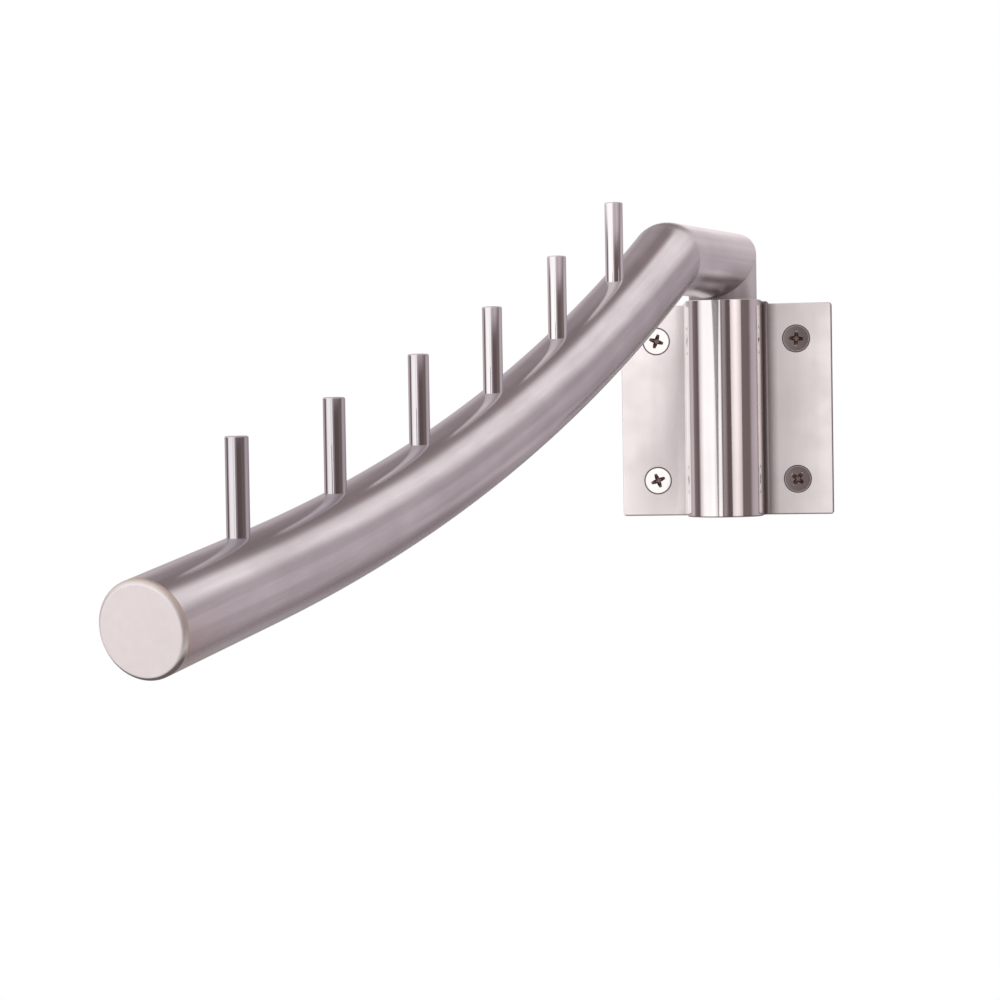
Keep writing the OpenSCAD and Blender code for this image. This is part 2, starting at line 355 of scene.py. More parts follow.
def plate_piece(node_name, front, back, top_z):
    """A plate with its screw holes, from its front and back lines seen from above."""
    name = node_name + "_finished"
    mesh = drilled(name, sheet_mesh(node_name + "_blank", front, back, top_z))
    placed(name, mesh, plate_steel, "bracket", "brushed_steel", node_name)


back_low, back_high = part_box("back_plate")
plate_half = back_high.x
plates_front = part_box("wall_screws")[0].y
back_face = back_low.y
corner_r = 1.0 * MM
sheet_edge_r = 0.3 * MM
hole_edge_r = 0.05 * MM
screw_at = 23.25 * MM
screw_r = 2.1 * MM
screw_room = 0.1 * MM
head_r = 4.5 * MM
head_h = head_r - screw_r
head_rim = 0.25 * MM
round_sides = 64
overrun = 1.0 * MM
screw_places = [(x * screw_at, z * screw_at) for x in (-1, 1) for z in (-1, 1)]
countersink_r = head_r + screw_room
countersink = [
    (screw_r + screw_room, plates_front - overrun),
    (screw_r + screw_room, -head_h),
    (countersink_r, -head_rim),
    (countersink_r, overrun),
]
flange_lean = 0.058
lean_from = 14 * MM


def leaning_left(x):
    """The left flange and its screws lean away from the barrel by a few degrees. Gives the height."""
    return times(maths("MAXIMUM", minus(-lean_from, x), 0.0), -flange_lean)


plate_steel = steel(
    "plate steel", (0.80, 0.785, 0.78), (0.72, 0.705, 0.705), 0.09, (2500, 2500, 60), cloud_size=60.0,
)
plate_place = where_on(plate_steel.node_tree)
plate_x, plate_y, plate_z = along_axes(plate_place)
from_middle = maths("ABSOLUTE", plate_x)
off_the_wall = (-0.2 * MM, -0.6 * MM)
at_front = ranged(plate_y, *off_the_wall)


def on_front(mask):
    """Keeps a mask off the face against the wall."""
    return times(mask, at_front)


# The flanges are left satin beside the polished barrel
flange_starts = (11.5 * MM, 13.5 * MM)
on_flange = ranged(from_middle, *flange_starts)
touched(plate_steel, on_flange, (0.88, 0.845, 0.84), 0.17)
satin = grain_at(plate_place, (900, 900, 60), 75.0)
blotches = times(on_flange, ranged(satin["Clouds"], 0.35, 0.68, 0.0, 0.55))
touched(plate_steel, blotches, (0.72, 0.68, 0.675), 0.24)
rubbed = times(on_flange, ranged(satin["Streaks"], 0.4, 0.7, 0.0, 0.35))
touched(plate_steel, rubbed, (0.70, 0.67, 0.67))
# Painted shade in both bends, darkest in the right one, which also holds a painted dark reflection of the
# barrel's side. The bends are rougher too
bend_starts = (12.0 * MM, 12.9 * MM)
bend_ends = (13.6 * MM, 17.0 * MM)
in_bend = times(ranged(from_middle, *bend_starts), on_front(ranged(from_middle, *bend_ends, 1.0, 0.0)))
touched(plate_steel, times(in_bend, 0.3), (0.30, 0.27, 0.265))
touched(plate_steel, in_bend, roughness=0.34)
right_starts = (11.5 * MM, 12.8 * MM)
right_ends = (13.6 * MM, 17.2 * MM)
# The right bend gets most of the painted shade and painted reflection
right_bend_shade = times(ranged(plate_x, *right_starts), on_front(ranged(plate_x, *right_ends, 1.0, 0.0)))
touched(plate_steel, times(right_bend_shade, 0.85), (0.22, 0.19, 0.19))
# Painted shade along the cut edges on the right and below, which are darker than the faces
edge_starts = (plate_half - 0.55 * MM, plate_half - 0.30 * MM)
edge_shade = ranged(maths("MAXIMUM", plate_x, times(plate_z, -1.0)), *edge_starts, 0.0, 0.85)
touched(plate_steel, edge_shade, (0.20, 0.18, 0.18))
# Painted shade inside the screw holes, which are also rougher there
from_hole_z = minus(maths("ABSOLUTE", plate_z), screw_at)
from_hole = diagonal(from_hole_z, minus(from_middle, screw_at))
shaded_hole = on_front(ranged(from_hole, countersink_r + hole_edge_r, countersink_r))
touched(plate_steel, shaded_hole, (0.20, 0.17, 0.16), 0.5)
# The press left the right flange leaning forward a little more and more towards its edge
right_lean_from = 15 * MM
right_lean_growth = 0.9
out_on_flange = maths("MAXIMUM", minus(plate_x, right_lean_from), 0.0)
right_lean = times(maths("POWER", out_on_flange, 2.0), right_lean_growth)
bent(plate_steel, on_front(plus(leaning_left(plate_x), right_lean)))
room_side = [(-plate_half, back_face), (plate_half, back_face)]
wall_side = [(-plate_half, 0.0), (plate_half, 0.0)]
plate_piece("back_plate", room_side, wall_side, lambda x: plate_half)


# Front plate
# One 1.2 mm stainless sheet, pressed round the post into a half-round barrel between two flanges.
# The flanges turn out of the barrel in tight bends, and the barrel stands a little above them.
def half_width(node_name):
    """Half of a CAD node's width from left to right."""
    low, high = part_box(node_name)
    return (high.x - low.x) / 2


axis_y = frame["joints"][0]["pos_m"][1]
tube_r = half_width("pivot_post")
run_gap = 0.08 * MM
bend_r = 1.8 * MM
bend_steps = 20
barrel_steps = 96
guide_r = tube_r + run_gap
sheet_t = back_face - plates_front
barrel_r = guide_r + sheet_t
bend_x = barrel_r + bend_r
bend_y = plates_front - bend_r
collar_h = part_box("front_plate")[1].z - plate_half


def arc(cx, cy, radius, start, end, steps):
    """Points on an arc, in degrees, both ends included."""
    angles = [math.radians(start + (end - start) * k / steps) for k in range(steps + 1)]
    return [(cx + radius * math.cos(a), cy + radius * math.sin(a)) for a in angles]


def sheet_line(flange_y, inner_bend_r, tube_side_r):
    """One side of the sheet seen from above, from the left edge to the right edge."""
    line = [(-plate_half, flange_y)]
    line += arc(-bend_x, bend_y, inner_bend_r, 90, 0, bend_steps)
    line += arc(0, axis_y, tube_side_r, 180, 360, barrel_steps)
    line += arc(bend_x, bend_y, inner_bend_r, 180, 90, bend_steps)
    line.append((plate_half, flange_y))
    return line


def sheet_top(x):
    """The sheet's top edge: the barrel's collar ends in a quarter round on each flange."""
    inwards = min(max(bend_x - abs(x), 0), collar_h)
    return plate_half + math.sqrt(collar_h**2 - (collar_h - inwards) ** 2)


outside = sheet_line(plates_front, bend_r, barrel_r)
inside = sheet_line(back_face, bend_r + sheet_t, guide_r)
plate_piece("front_plate", outside, inside, sheet_top)


# Barrel floor
# A 2 mm stainless plate welded across the barrel near its lower end. The arm's weight rests on it.
def dressed(material, *node_names):
    """Gives CAD nodes a material."""
    for node_name in node_names:
        materials = frame["nodes"][node_name].data.materials
        materials.clear()
        materials.append(material)


floor_steel = steel("floor steel", (0.62, 0.59, 0.58), (0.57, 0.54, 0.53), 0.35, (1500, 1500, 1500))
dressed(floor_steel, "barrel_floor")


# Bearing saddles and thrust washer
# White nylon blocks fill the corners of the barrel behind the post, and a nylon ring lies under it.
def nylon_material():
    """Off-white moulded nylon with a faint mottle."""
    material, tree, shader = new_material("nylon")
    mottle = add_node(tree, "ShaderNodeTexNoise", {"Vector": where_on(tree), "Scale": 350}).outputs["Fac"]
    tree.links.new(mixed(mottle, (0.80, 0.80, 0.77), (0.72, 0.72, 0.69)), shader.inputs["Base Color"])
    tree.links.new(ranged(mottle, 0.0, 1.0, 0.42, 0.58), shader.inputs["Roughness"])
    return material


dressed(nylon_material(), "lower_saddle", "upper_saddle", "thrust_washer")


# Wall screws
# Four bright stainless wood screws with countersunk heads and cross recesses. They lie flush in the
# front plate, their threads go into the wall, and each was left at its own angle when it was driven in.
tip_len = 5.0 * MM
tip_r = 0.15 * MM
neck_r = 0.8 * screw_r
core_r = 0.68 * screw_r
thread_start = 0.6 * MM
thread_pitch = 1.8 * MM
thread_base = 0.8 * MM
thread_crest = 0.14 * MM
thread_root_share = 0.9
thread_steps = 32
wing_len = 0.56 * head_r
wing_half_w = 0.15 * head_r
wing_end_half_w = 0.6 * wing_half_w
recess_depth = 0.6 * head_h
cutter_top = (1.1, 1.1, 0.3 * overrun)
cutter_foot = (0.35, 0.6, -recess_depth)
screw_edge_r = 0.06 * MM
screw_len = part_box("wall_screws")[1].y - plates_front
thread_top = plates_front - thread_start


def tapered(radius, z):
    """The radius of the core or of the thread at a height, which narrows along the tip."""
    return tip_r + (radius - tip_r) * min((z + screw_len) / tip_len, 1)


def add_thread(work):
    """A right-handed thread round the screw's core. It grows out of the core in half a turn at each end."""
    threaded = thread_top + screw_len - thread_base / 2
    turns = threaded / thread_pitch
    count = round(turns * thread_steps)
    half_turn = thread_steps / 2
    sections = []
    for k in range(count + 1):
        z = thread_top - threaded * k / count
        angle = -2 * math.pi * turns * k / count
        core = tapered(core_r, z)
        root = core * thread_root_share
        crest = core + (tapered(screw_r, z) - core) * min(k / half_turn, (count - k) / half_turn, 1)
        corners = [
            (root, thread_base / 2),
            (crest, thread_crest / 2),
            (crest, -thread_crest / 2),
            (root, -thread_base / 2),
        ]
        sections.append([
            work.verts.new((radius * math.cos(angle), radius * math.sin(angle), z + rise))
            for radius, rise in corners
        ])
    faces = [work.faces.new(sections[0]), work.faces.new(list(reversed(sections[-1])))]
    for one, other in zip(sections, sections[1:]):
        for k in range(4):
            n = (k + 1) % 4
            faces.append(work.faces.new((one[k], other[k], other[n], one[n])))
    bmesh.ops.recalc_face_normals(work, faces=faces)


def cross_cutter():
    """Two crossed wings, whose top and foot each have shares of the length and width, and a height."""
    work = bmesh.new()
    half_wing = wing_len / 2
    side = [
        (-wing_len, -wing_end_half_w),
        (-half_wing, -wing_half_w),
        (half_wing, -wing_half_w),
        (wing_len, -wing_end_half_w),
    ]
    outline = side + [(-x, -y) for x, y in side]
    for turn in (0, math.pi / 2):
        spin = Matrix.Rotation(turn, 4, "Z")
        top, foot = [
            [work.verts.new(spin @ Vector((x * len_share, y * w_share, z))) for x, y in outline]
            for len_share, w_share, z in (cutter_top, cutter_foot)
        ]
        work.faces.new(top)
        work.faces.new(list(reversed(foot)))
        closed_side(work, foot, top)
    bmesh.ops.recalc_face_normals(work, faces=work.faces)
    return new_object("cross_cutter", mesh_of(work, "cross_cutter"))


def screw_mesh():
    """One screw, its head's face at z = 0 and its tip down."""
    profile = [
        (tip_r, -screw_len),
        (core_r, -screw_len + tip_len),
        (core_r, thread_top),
        (neck_r, thread_top),
        (neck_r, -head_h),
        (head_r, -head_rim),
        (head_r, 0.0),
    ]
    turned = lathe_mesh("screw_body", profile, round_sides)
    turned.shade_smooth()
    body = new_object("screw_body", turned)
    cutter = cross_cutter()
    cut_out(body, cutter, own_overlaps=True)
    eased(body, screw_edge_r, segments=2, least_degrees=38).harden_normals = True
    mesh = finished_mesh(body, "screw")
    bpy.data.objects.remove(cutter)
    work = bmesh.new()
    work.from_mesh(mesh)
    add_thread(work)
    work.to_mesh(mesh)
    work.free()
    return mesh


def points_mesh(name, points, joined=False):
    """Points, each joined to the next one where they are the middle of a tube."""
    mesh = bpy.data.meshes.new(name)
    mesh.from_pydata(points, [(k, k + 1) for k in range(len(points) - 1)] if joined else [], [])
    return mesh


def new_tree(name, inputs):
    """A Geometry Nodes tree with a geometry input and output and the named inputs between."""
    tree = bpy.data.node_groups.new(name, "GeometryNodeTree")
    for label, kind in {"Geometry": "Geometry", **inputs}.items():
        tree.interface.new_socket(label, in_out="INPUT", socket_type="NodeSocket" + kind)
    tree.interface.new_socket("Geometry", in_out="OUTPUT", socket_type="NodeSocketGeometry")
    return tree, tree.nodes.new("NodeGroupInput").outputs


def stored(geometry, name, value):
    """Keeps a vector at each point, under a name that the material can read."""
    inputs = {"Geometry": geometry, "Name": name, "Value": value}
    kind = "GeometryNodeStoreNamedAttribute"
    return add_node(geometry.id_data, kind, inputs, data_type="FLOAT_VECTOR", domain="POINT").outputs[0]


def copied(points, shape, **turned):
    """A copy of a shape at each point."""
    inputs = {"Points": points, "Instance": shape, **turned}
    return add_node(points.id_data, "GeometryNodeInstanceOnPoints", inputs).outputs[0]


def end_tree(geometry, material):
    """Makes what the tree built real, gives it its material and hands it out."""
    tree = geometry.id_data
    real = add_node(tree, "GeometryNodeRealizeInstances", {0: geometry}).outputs[0]
    finish = add_node(tree, "GeometryNodeSetMaterial", {"Geometry": real, "Material": material})
    add_node(tree, "NodeGroupOutput", {0: finish.outputs[0]})


def grown(name, base, tree, values):
    """Runs a tree on a mesh with values for its named inputs, and returns the plain mesh."""
    work = new_object(name + "_work", base)
    modifier = work.modifiers.new(name, "NODES")
    modifier.node_group = tree
    for item in tree.interface.items_tree:
        if item.in_out == "INPUT" and item.name in values:
            modifier[item.identifier] = values[item.name]
    return finished_mesh(work, name)


def screws_tree():
    """Puts the screw at each point, turned by the point's own angle about the wall's normal."""
    tree, given = new_tree("screws in their holes", {"Screw": "Object", "Finish": "Material"})
    turn = add_node(tree, "GeometryNodeInputNamedAttribute", {"Name": "turn"}, data_type="FLOAT")
    about = add_node(tree, "ShaderNodeCombineXYZ", {"X": math.pi / 2, "Y": turn.outputs["Attribute"]})
    screw = add_node(tree, "GeometryNodeObjectInfo", {"Object": given["Screw"]}).outputs["Geometry"]
    in_screw = stored(screw, "in_screw", tree.nodes.new("GeometryNodeInputPosition").outputs[0])
    end_tree(copied(given["Geometry"], in_screw, Rotation=about.outputs[0]), given["Finish"])
    return tree


screw_steel = steel(
    "screw steel", (0.86, 0.84, 0.83), (0.82, 0.80, 0.79), 0.05, (4000, 4000, 4000), depth=0.02,
)
# Painted shade in the cross recess and round the head's rim, which are also rougher there
in_x, in_y, in_z = along_axes(where_on(screw_steel.node_tree, "in_screw"))
rim_ends = (head_r - 0.45 * MM, head_r - 0.15 * MM)
shaded_rim = ranged(diagonal(in_y, in_x), *rim_ends)
head_ends = (-head_h, -0.9 * head_h)
recess_starts = (-0.02 * MM, -0.20 * MM)
shaded_cross = times(ranged(in_z, *head_ends), ranged(in_z, *recess_starts))
touched(screw_steel, shaded_rim, (0.14, 0.12, 0.12))
touched(screw_steel, shaded_cross, (0.26, 0.19, 0.17))
touched(screw_steel, maths("MAXIMUM", shaded_rim, shaded_cross), roughness=0.45)
# The left screws lean a little more than their flange
screw_lean_share = 1.4
screw_x = along_axes(where_on(screw_steel.node_tree))[0]
bent(screw_steel, times(leaning_left(screw_x), screw_lean_share))
screw_turns = [-22, 18, 38, 4]
places_mesh = points_mesh("screw_places", [(x, plates_front, z) for x, z in screw_places])
turn_values = places_mesh.attributes.new("turn", "FLOAT", "POINT")
for turn_value, degrees in zip(turn_values.data, screw_turns):
    turn_value.value = math.radians(degrees)
one_screw = new_object("one_screw", screw_mesh())
screws_values = {"Screw": one_screw, "Finish": screw_steel}
screws_mesh = grown("wall_screws_finished", places_mesh, screws_tree(), screws_values)
bpy.data.objects.remove(one_screw)
placed("wall_screws_finished", screws_mesh, screw_steel, "bracket", "screw_steel", "wall_screws")


# Pivot post
# Stainless tube of 7/8 inch that turns in the barrel. Its top is cut at 45 degrees and welded to the
# level stub, and the weld is ground flush.
def smooth_sides(geometry):
    """Shades the faces of up to four corners smooth, and leaves the flat ends of a tube or rod flat."""
    tree = geometry.id_data
    corners = tree.nodes.new("GeometryNodeInputMeshFaceNeighbors").outputs["Vertex Count"]
    compared = {2: corners, 3: 4}
    on_side = add_node(tree, "FunctionNodeCompare", compared, data_type="INT", operation="LESS_EQUAL")
    shaded = {0: geometry, "Shade Smooth": on_side.outputs[0]}
    return add_node(tree, "GeometryNodeSetShadeSmooth", shaded).outputs[0]


def tube_tree():
    """Sweeps a circle along a line of points and shears both ends to their mitre planes.
    It keeps each point's place on the unrolled tube, so that the brushing follows the bend."""
    tree, given = new_tree("mitred tube", {
        "Radius": "Float", "Sides": "Int", "Start normal": "Vector", "End normal": "Vector",
        "Start rounding": "Float", "End rounding": "Float", "Reach": "Float", "Finish": "Material",
    })
    radius = given["Radius"]

    def field(kind, label=0):
        """What a point or line knows about itself."""
        return tree.nodes.new(kind).outputs[label]

    def kept(geometry, fields):
        """Keeps fields as they are before the sweep. Gives the geometry and the kept fields by name."""
        keep = tree.nodes.new("GeometryNodeCaptureAttribute")
        for label, (kind, value) in fields.items():
            keep.capture_items.new(kind, label)
            tree.links.new(value, keep.inputs[label])
        tree.links.new(geometry, keep.inputs["Geometry"])
        return keep.outputs

    line = add_node(tree, "GeometryNodeMeshToCurve", {"Mesh": given["Geometry"]})
    on_line = kept(line.outputs[0], {
        "centre": ("VECTOR", field("GeometryNodeInputPosition")),
        "tangent": ("VECTOR", field("GeometryNodeInputTangent")),
        "along": ("FLOAT", field("GeometryNodeSplineParameter", "Length")),
        "whole": ("FLOAT", field("GeometryNodeSplineLength", "Length")),
    })
    ring = {"Radius": radius, "Resolution": given["Sides"]}
    circle = add_node(tree, "GeometryNodeCurvePrimitiveCircle", ring).outputs[0]
    on_ring = kept(circle, {"ring place": ("VECTOR", field("GeometryNodeInputPosition"))})
    swept = {"Curve": on_line["Geometry"], "Profile Curve": on_ring["Geometry"], "Fill Caps": True}
    sweep = add_node(tree, "GeometryNodeCurveToMesh", swept)
    spoke = vector_maths("SUBTRACT", field("GeometryNodeInputPosition"), on_line["centre"])

    def shear(normal, distance, way, rounding):
        """How far a point goes along the tube to reach the mitre, fading out at the reach, and how it
        then moves in the mitre's plane so that the outside of the corner is rounded."""
        out = vector_maths("DOT_PRODUCT", spoke, normal)
        slant = maths("DIVIDE", out, vector_maths("DOT_PRODUCT", on_line["tangent"], normal))
        fade = maths("SUBTRACT", 1.0, maths("DIVIDE", distance, given["Reach"]), clamp=True)
        slide = times(times(slant, -1.0), fade)
        to_outside = times(slant, -way)
        steep = maths("DIVIDE", to_outside, radius)
        longer = maths("DIVIDE", to_outside, given["Reach"])
        away = times(distance, plus(longer, 1.0))
        left = maths("MAXIMUM", minus(times(rounding, steep), away), 0.0)
        square = plus(times(steep, steep), 1.0)
        half = plus(rounding, times(steep, left))
        under = minus(times(half, half), times(square, times(left, left)))
        sink = maths("DIVIDE", minus(half, maths("SQRT", maths("MAXIMUM", under, 0.0))), square)
        in_plane = vector_maths("SUBTRACT", spoke, vector_maths("SCALE", normal, out))
        size = vector_maths("DOT_PRODUCT", in_plane, in_plane)
        share = maths("DIVIDE", times(times(sink, -1.0), radius), size)
        return slide, vector_maths("SCALE", in_plane, share)

    start, start_sink = shear(given["Start normal"], on_line["along"], -1.0, given["Start rounding"])
    to_end = minus(on_line["whole"], on_line["along"])
    end, end_sink = shear(given["End normal"], to_end, 1.0, given["End rounding"])
    shift = plus(start, end)
    offset = vector_maths("ADD", vector_maths("SCALE", on_line["tangent"], shift), start_sink)
    moved = {"Geometry": sweep.outputs[0], "Offset": vector_maths("ADD", offset, end_sink)}
    move = add_node(tree, "GeometryNodeSetPosition", moved)
    ring_x, ring_y = along_axes(on_ring["ring place"])[:2]
    flat_place = {"X": ring_x, "Y": ring_y, "Z": plus(on_line["along"], shift)}
    unrolled = add_node(tree, "ShaderNodeCombineXYZ", flat_place).outputs[0]
    end_tree(smooth_sides(stored(move.outputs[0], "unrolled", unrolled)), given["Finish"])
    return tree


mitred_tube = tube_tree()
tube_sides = 128
mitre_reach = 2 * tube_r


def tube_piece(node_name, centres, normals, rounding, material):
    """A length of the tube along a line of centres. Each end has its mitre's normal and rounding."""
    name = node_name + "_finished"
    values = {
        "Radius": tube_r, "Sides": tube_sides, "Start normal": normals[0], "End normal": normals[1],
        "Start rounding": rounding[0], "End rounding": rounding[1], "Reach": mitre_reach, "Finish": material,
    }
    mesh = grown(name, points_mesh(node_name + "_line", centres, joined=True), mitred_tube, values)
    placed(name, mesh, material, "arm", "brushed_steel", node_name)


arm_turn = math.radians(17)
arm_out = Vector((-math.sin(arm_turn), -math.cos(arm_turn), 0))
pivot = Vector((0, axis_y, 0))


def in_arm_plane(reach, height):
    """A point in the upright plane of the arm: out from the post's axis, and up."""
    return pivot + arm_out * reach + Vector((0, 0, height))


def stations(length, fine=4 * MM, fine_step=0.25 * MM, step=2.5 * MM):
    """Distances along a tube, close together near both ends and wider apart between."""
    near = [fine_step * k for k in range(round(fine / fine_step))]
    count = round((length - 2 * fine) / step)
    between = [fine + (length - 2 * fine) * k / count for k in range(count + 1)]
    return near + between + [length - d for d in reversed(near)]


def facing_down(tree, level, down):
    """0 where the surface's normal has the height level, 1 where it points down as far as down."""
    normal = tree.nodes.new("ShaderNodeNewGeometry").outputs["Normal"]
    return ranged(along_axes(normal)[2], level, down)


def tube_finish(name, roughness, across):
    """The brushed steel of one tube, with painted shade on its underside. The brushing wheel didn't reach
    the underside well, so it is rougher there.
    """
    colours = (0.89, 0.895, 0.905), (0.70, 0.70, 0.715)
    material = steel(name, *colours, roughness, across, place="unrolled", cloud_size=60.0)
    tree = material.node_tree
    # Painted shade: the underside is darker
    touched(material, facing_down(tree, -0.3, -0.85), (0.64, 0.61, 0.64))
    touched(material, facing_down(tree, -0.25, -0.6), roughness=0.24)
    return material


def from_line(place, point, way):
    """How far a place is from the line through a point, and how far along the line."""
    step = vector_maths("SUBTRACT", place, point)
    along = vector_maths("DOT_PRODUCT", step, way)
    length = vector_maths("LENGTH", step)
    across_square = maths("MAXIMUM", minus(times(length, length), times(along, along)), 0.0)
    return maths("SQRT", across_square), along


def from_inner_weld(tree):
    """How far a place is from the weld's lowest line, in the inner corner of the post and the stub."""
    lowest = in_arm_plane(tube_r, stub_z - tube_r)
    sideways = Vector((arm_out.y, -arm_out.x, 0))
    return from_line(where_on(tree), lowest, sideways)[0]


corner_round = 1.2 * MM
post_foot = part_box("pivot_post")[0].z
stub_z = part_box("stub_tube")[1].z - tube_r
corner_normal = (in_arm_plane(1, 1) - pivot).normalized()
straight = Vector((0, 0, 1))
post_steel = tube_finish("post steel", 0.48, (3000, 3000, 50))
# The weld's heat has browned the post just under the stub, and the brown is also painted shade in the inner
# corner
weld_tint_and_shade = (0.28, 0.23, 0.23)
post_brown_ends = (9 * MM, 3 * MM)
post_tint_and_shade = ranged(from_inner_weld(post_steel.node_tree), *post_brown_ends, 0.0, 0.8)
touched(post_steel, post_tint_and_shade, weld_tint_and_shade)
post_line = [in_arm_plane(0, post_foot + d) for d in stations(stub_z - post_foot)]
tube_piece("pivot_post", post_line, (straight, corner_normal), (0.0, corner_round), post_steel)


# Post plug, retaining bolt and washer
# A tapped steel plug is welded into the foot of the post. A button head bolt comes up through the
# barrel's floor into it, with a washer under its head, and keeps the arm from lifting out.
dressed(floor_steel, "post_plug")
bolt_steel = steel("bolt steel", (0.72, 0.70, 0.69), (0.66, 0.64, 0.63), 0.2, (3000, 3000, 3000))
dressed(bolt_steel, "retaining_bolt", "bolt_washer")


# Stub tube
# The same tube, level from the post to the elbow, and mitred at both ends.
stub_len = 47.5 * MM
slope_start = math.radians(28.3)
elbow_round = 14.0 * MM
elbow_normal = in_arm_plane(math.cos(slope_start / 2), -math.sin(slope_start / 2)) - pivot
ground_ends = (7.0 * MM, 1.0 * MM)


def ground_weld(material):
    """Makes the band where the elbow's weld was ground flush more matt than the tubes beside it."""
    elbow = in_arm_plane(stub_len, stub_z)
    from_mitre = maths("ABSOLUTE", from_line(where_on(material.node_tree), elbow, elbow_normal)[1])
    touched(material, ranged(from_mitre, *ground_ends, 0.0, 0.8), roughness=0.40)


stub_steel = tube_finish("stub steel", 0.15, (3000, 3000, 50))
ground_weld(stub_steel)
# The weld's heat has browned the stub's underside at the inner corner, and the brown there is also painted
# shade under the stub
stub_brown_ends = (20 * MM, 6 * MM)
by_weld = ranged(from_inner_weld(stub_steel.node_tree), *stub_brown_ends, 0.0, 0.8)
stub_tint_and_shade = times(by_weld, facing_down(stub_steel.node_tree, 0.0, -0.45))
touched(stub_steel, stub_tint_and_shade, weld_tint_and_shade)
stub_line = [in_arm_plane(d, stub_z) for d in stations(stub_len)]
tube_piece("stub_tube", stub_line, (corner_normal, elbow_normal), (corner_round, elbow_round), stub_steel)


# Arm tube
# The same tube, rolled to a long curve that is steepest at the elbow, with a straight end. It is
# brushed along its length.
arm_r = 820 * MM
curve_len = 260 * MM
tail_len = 45 * MM
arm_len = curve_len + tail_len


def arm_slope(along):
    """How steeply the arm goes down at a distance from the elbow."""
    return slope_start - min(along, curve_len) / arm_r


def arm_line(along):
    """The middle of the arm at a distance from the elbow: how far out, and how high."""
    slope = arm_slope(along)
    rest = max(along - curve_len, 0)
    reach = stub_len + arm_r * (math.sin(slope_start) - math.sin(slope)) + rest * math.cos(slope)
    height = stub_z - arm_r * (math.cos(slope) - math.cos(slope_start)) - rest * math.sin(slope)
    return reach, height


arm_points = [in_arm_plane(*arm_line(d)) for d in stations(arm_len)]
slope_end = arm_slope(arm_len)
arm_direction = in_arm_plane(math.cos(slope_end), -math.sin(slope_end)) - pivot
arm_steel = tube_finish("arm steel", 0.15, (3000, 3000, 260))
ground_weld(arm_steel)
# Handling has dulled the lower side, and the cap's weld has left a faint brown tint on the last of it
arm_tree = arm_steel.node_tree
arm_tree.nodes["Principled BSDF"].inputs["Specular Tint"].default_value = (0.60, 0.59, 0.60, 1)
touched(arm_steel, facing_down(arm_tree, -0.50, -0.72), roughness=0.50)
cap_brown_ends = (arm_len - 18 * MM, arm_len - 0.5 * MM)
by_cap = ranged(along_axes(where_on(arm_tree, "unrolled"))[2], *cap_brown_ends, 0.0, 0.55)
touched(arm_steel, times(by_cap, facing_down(arm_tree, 0.35, -0.3)), (0.60, 0.49, 0.44))
tube_piece("arm_tube", arm_points, (elbow_normal, arm_direction), (elbow_round, 0.0), arm_steel)


# End cap
# A stainless disc welded on the open end of the arm and ground to a soft edge. The weld's heat has
# left a straw tint on the rim.
cap_t = 1.5 * MM
cap_edge = 1.2 * MM
cap_spigot = 3.0 * MM
spigot_r = tube_r - 1.5 * MM
cap_profile = [(spigot_r, -cap_spigot), (spigot_r, 0.0), (tube_r, 0.0)]
cap_profile += arc(tube_r - cap_edge, cap_t - cap_edge, cap_edge, 0, 90, 9)
cap_mesh = lathe_mesh("end_cap_finished", cap_profile, tube_sides)
for polygon in cap_mesh.polygons:
    polygon.use_smooth = len(polygon.vertices) == 4
arm_side = arm_direction.cross(straight).normalized()
arm_top = arm_side.cross(arm_direction)
cap_turn = Matrix((arm_side, arm_top, arm_direction)).transposed().to_4x4()
cap_mesh.transform(Matrix.Translation(arm_points[-1]) @ cap_turn)
cap_steel = steel("cap steel", (0.815, 0.795, 0.79), (0.75, 0.73, 0.725), 0.24, (2500, 2500, 2500))
cap_tree = cap_steel.node_tree
from_cap_axis = from_line(where_on(cap_tree), arm_points[-1], arm_direction)[0]
cap_edge_ends = (tube_r - 1.2 * cap_edge, tube_r - 0.6 * cap_edge)
on_cap_edge = ranged(from_cap_axis, *cap_edge_ends)
touched(cap_steel, on_cap_edge, roughness=0.50)
cap_rim_ends = (tube_r - cap_edge / 2, tube_r - 0.05 * MM)
touched(cap_steel, ranged(from_cap_axis, *cap_rim_ends), (0.72, 0.66, 0.57))
# Painted shade on the underside of the cap's rounded edge
rim_underside_shade = times(on_cap_edge, facing_down(cap_tree, -0.36, -0.56))
touched(cap_steel, rim_underside_shade, (0.17, 0.15, 0.15))
placed("end_cap_finished", cap_mesh, cap_steel, "arm", "brushed_steel", "end_cap")


